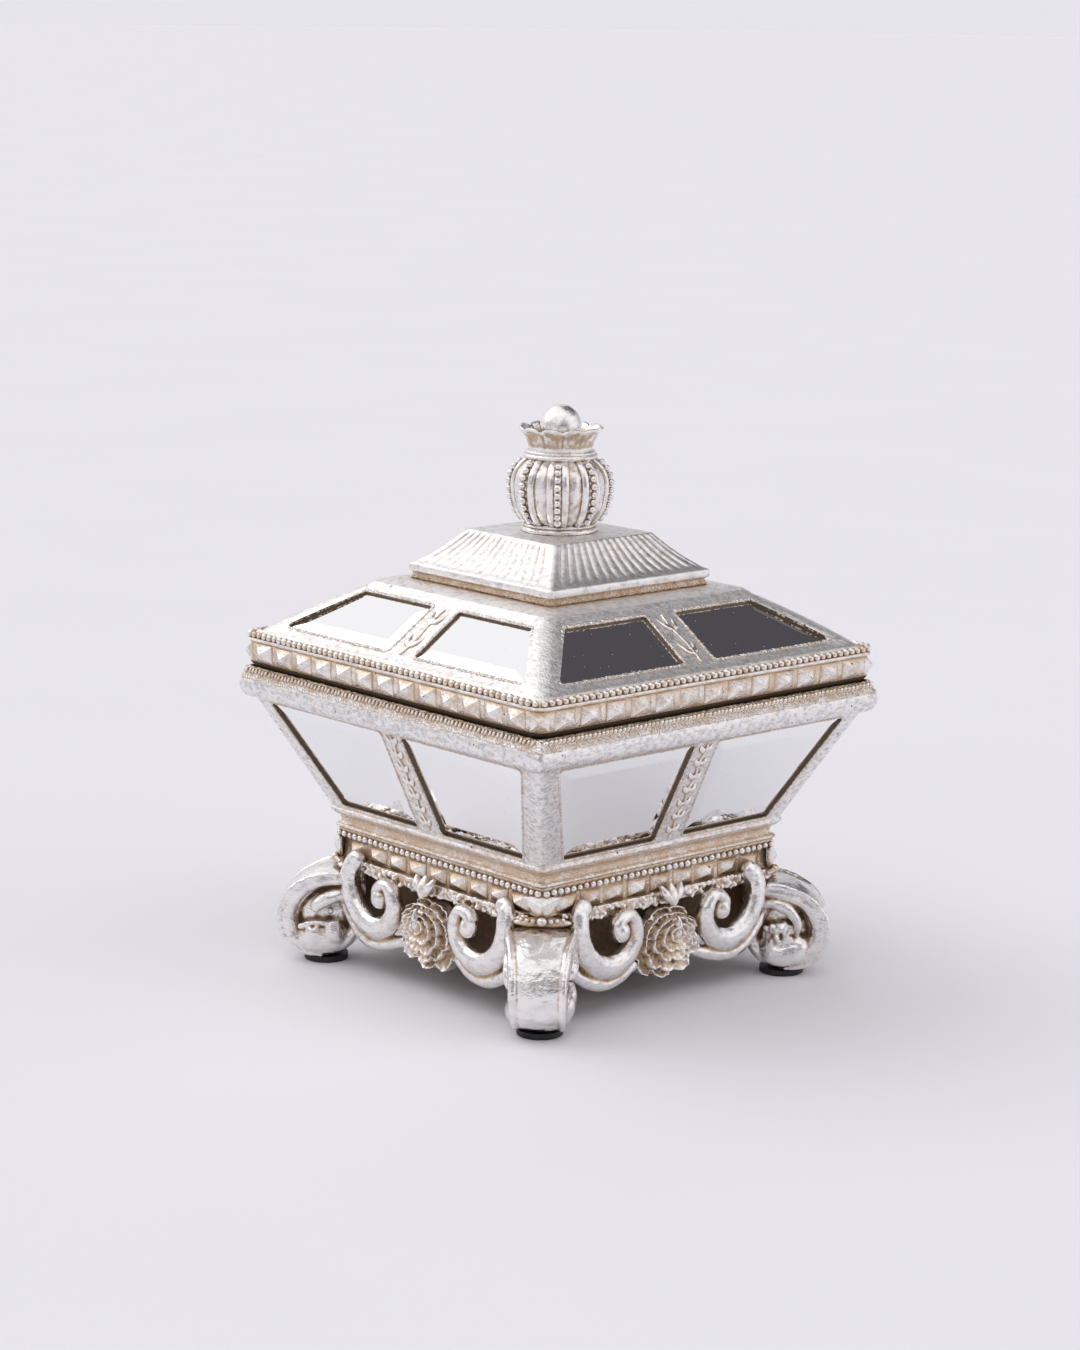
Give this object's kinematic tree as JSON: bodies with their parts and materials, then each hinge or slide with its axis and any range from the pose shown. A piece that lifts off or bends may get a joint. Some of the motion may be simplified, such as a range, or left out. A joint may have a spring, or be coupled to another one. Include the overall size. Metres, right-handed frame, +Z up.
{
  "type": "trinket box",
  "caption": "Square tapered box with bevelled mirror panels, scroll feet and a lift-off hipped lid with a finial, for keeping small trinkets on a dressing table.",
  "frame": {"origin": "under the middle of the box, at the level of the surface it stands on", "axes": "+Z up along the box's axis of symmetry; -Y is the front and +X the right side, and the four sides are alike"},
  "size_m": [0.15, 0.15, 0.1877],
  "materials": {
    "silvered_resin": "satin",
    "mirror_glass": "polished",
    "felt": "matte",
    "pad_rubber": "matte",
    "plain_steel": "satin"
  },
  "bodies": {
    "box": {"apron_back": "silvered_resin", "apron_front": "silvered_resin", "apron_left": "silvered_resin", "apron_right": "silvered_resin", "base_plinth": "silvered_resin", "body_frame": "silvered_resin", "body_mirror_back_left": "mirror_glass", "body_mirror_back_right": "mirror_glass", "body_mirror_front_left": "mirror_glass", "body_mirror_front_right": "mirror_glass", "body_mirror_left_left": "mirror_glass", "body_mirror_left_right": "mirror_glass", "body_mirror_right_left": "mirror_glass", "body_mirror_right_right": "mirror_glass", "floor_lining": "felt", "foot_back_left": "silvered_resin", "foot_back_right": "silvered_resin", "foot_front_left": "silvered_resin", "foot_front_right": "silvered_resin", "foot_pad_back_left": "pad_rubber", "foot_pad_back_right": "pad_rubber", "foot_pad_front_left": "pad_rubber", "foot_pad_front_right": "pad_rubber", "wall_lining_back": "felt", "wall_lining_front": "felt", "wall_lining_left": "felt", "wall_lining_right": "felt"},
    "lid": {"crown_tier": "silvered_resin", "finial_base": "silvered_resin", "finial_bulb": "silvered_resin", "finial_cap": "silvered_resin", "finial_crown": "silvered_resin", "finial_nut": "plain_steel", "finial_screw": "plain_steel", "finial_washer": "plain_steel", "lid_frame": "silvered_resin", "lid_lining_back": "felt", "lid_lining_front": "felt", "lid_lining_left": "felt", "lid_lining_right": "felt", "lid_lining_top": "felt", "lid_mirror_back_left": "mirror_glass", "lid_mirror_back_right": "mirror_glass", "lid_mirror_front_left": "mirror_glass", "lid_mirror_front_right": "mirror_glass", "lid_mirror_left_left": "mirror_glass", "lid_mirror_left_right": "mirror_glass", "lid_mirror_right_left": "mirror_glass", "lid_mirror_right_right": "mirror_glass"}
  },
  "joints": [
    {"name": "lid_lift", "type": "slide", "parent": "box", "child": "lid", "axis": [0, 0, 1], "range_m": [0, 0.12]}
  ]
}
